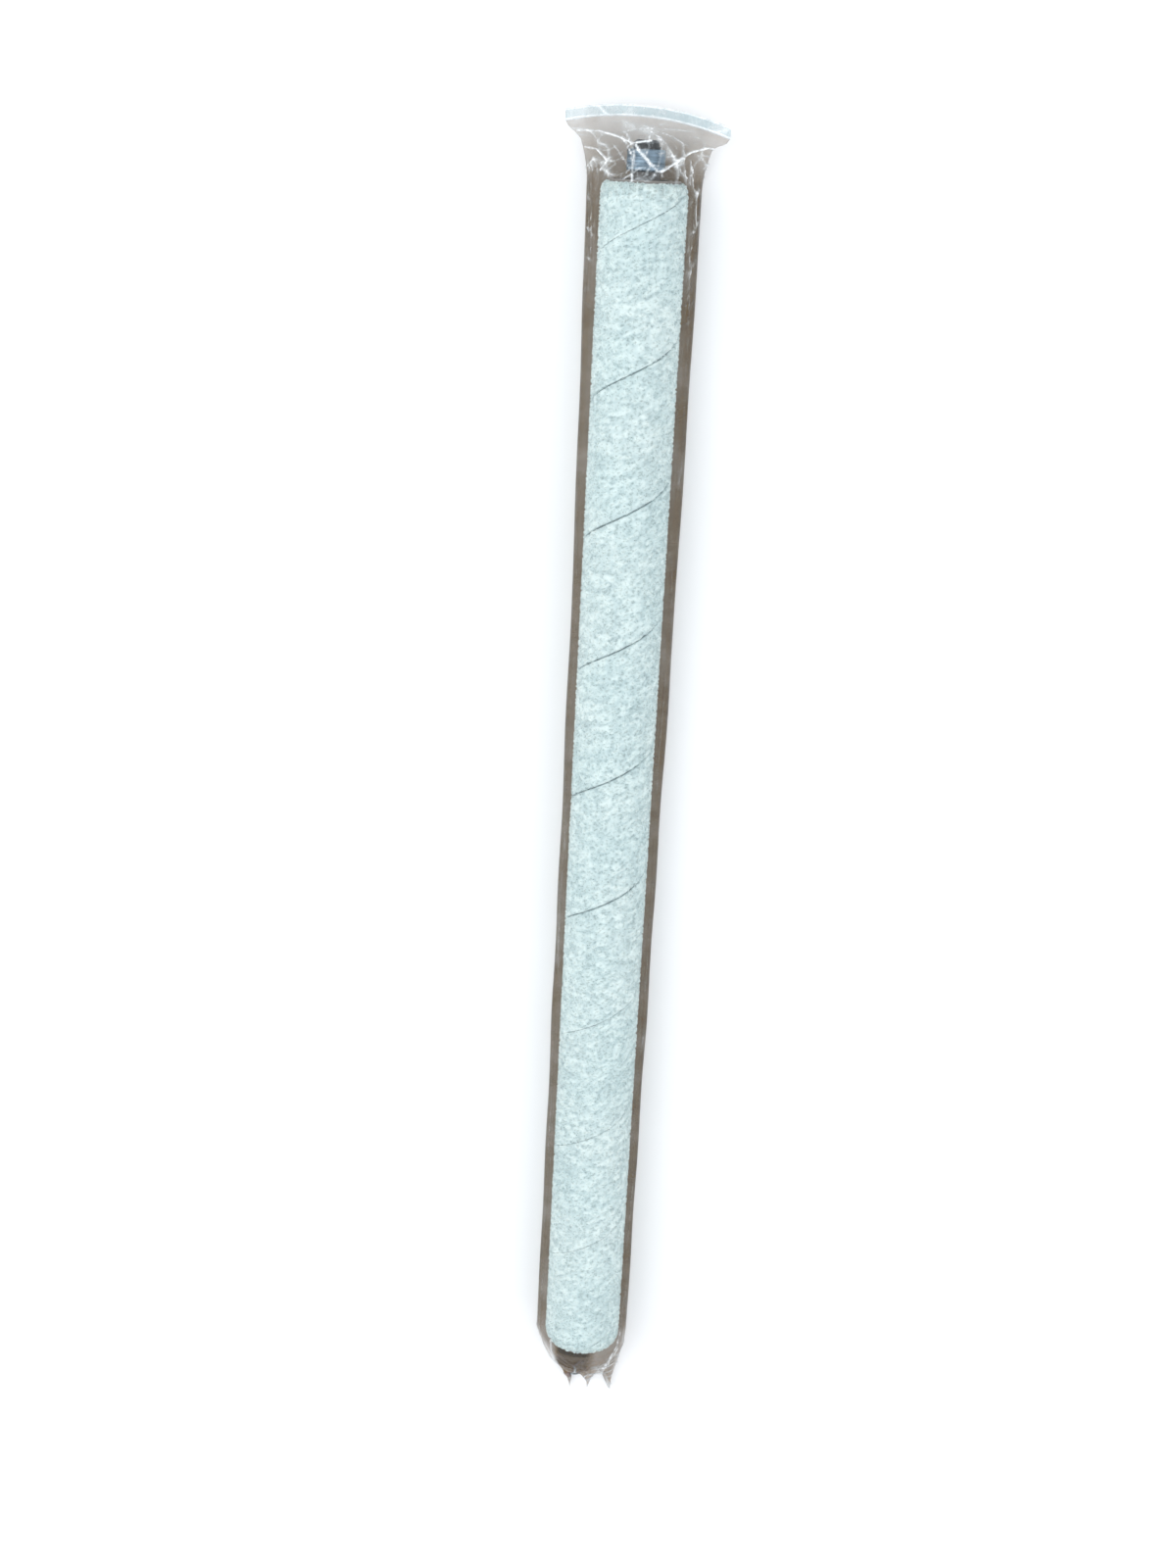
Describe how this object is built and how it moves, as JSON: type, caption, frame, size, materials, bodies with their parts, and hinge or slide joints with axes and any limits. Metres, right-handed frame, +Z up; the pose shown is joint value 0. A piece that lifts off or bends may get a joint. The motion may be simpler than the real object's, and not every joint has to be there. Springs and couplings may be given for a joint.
{
  "type": "plush-covered idler roller",
  "caption": "Idler roller with a helically wound plush cover on a tube, running on sealed ball bearings on a fixed axle, in a clear film bag.",
  "frame": {"origin": "centre of the footprint, on the surface that the bag lies on", "axes": "+X along the roller's axle towards the welded end of the bag (the lock end), +Z up"},
  "size_m": [0.864, 0.0942, 0.0518],
  "materials": {
    "plush": "short dense pile, matt",
    "tube_aluminium": "drawn",
    "axle_steel": "ground bright",
    "bearing_steel": "ground and polished",
    "spring_steel": "phosphated, oiled",
    "zinc_plated_steel": "blue passivated zinc",
    "black_acetal": "moulded",
    "grey_nylon": "moulded",
    "dust_cover_plastic": "moulded",
    "seal_rubber": "matt",
    "cage_nylon": "moulded",
    "clear_film": "clear blown film"
  },
  "bodies": {
    "axle_assembly": {"axle": "axle_steel", "axle_retaining_rings": "spring_steel", "set_collar": "zinc_plated_steel", "collar_grub_screw": "spring_steel", "axle_cap": "black_acetal", "dust_cover_lock": "dust_cover_plastic", "dust_cover_tail": "dust_cover_plastic", "bearing_inner_race_lock": "bearing_steel", "bearing_inner_race_tail": "bearing_steel"},
    "roller_shell": {"core_tube": "tube_aluminium", "plush_cover": "plush", "hub_lock": "grey_nylon", "hub_retaining_ring_lock": "spring_steel", "bearing_outer_race_lock": "bearing_steel", "bearing_seals_lock": "seal_rubber", "hub_tail": "grey_nylon", "hub_retaining_ring_tail": "spring_steel", "bearing_outer_race_tail": "bearing_steel", "bearing_seals_tail": "seal_rubber"},
    "lock_cage": {"bearing_balls_lock": "bearing_steel", "bearing_cage_lock": "cage_nylon"},
    "tail_cage": {"bearing_balls_tail": "bearing_steel", "bearing_cage_tail": "cage_nylon"},
    "bag": {"bag_sleeve": "clear_film", "bag_head": "clear_film", "bag_mouth": "clear_film"}
  },
  "joints": [
    {"name": "roller_spin", "type": "hinge", "parent": "axle_assembly", "child": "roller_shell", "pos_m": [0.011, 0, 0.0259], "axis": [1, 0, 0], "continuous": true},
    {"name": "lock_cage_spin", "type": "hinge", "parent": "axle_assembly", "child": "lock_cage", "pos_m": [0.011, 0, 0.0259], "axis": [1, 0, 0], "continuous": true},
    {"name": "tail_cage_spin", "type": "hinge", "parent": "axle_assembly", "child": "tail_cage", "pos_m": [0.011, 0, 0.0259], "axis": [1, 0, 0], "continuous": true},
    {"name": "bag_slide", "type": "slide", "parent": "axle_assembly", "child": "bag", "axis": [1, 0, 0], "range_m": [0, 0.9], "deforming": ["bag_mouth"]}
  ],
  "couplings": [
    {"joint": "lock_cage_spin", "follows": "roller_spin", "ratio": 0.61905},
    {"joint": "tail_cage_spin", "follows": "roller_spin", "ratio": 0.61905}
  ]
}
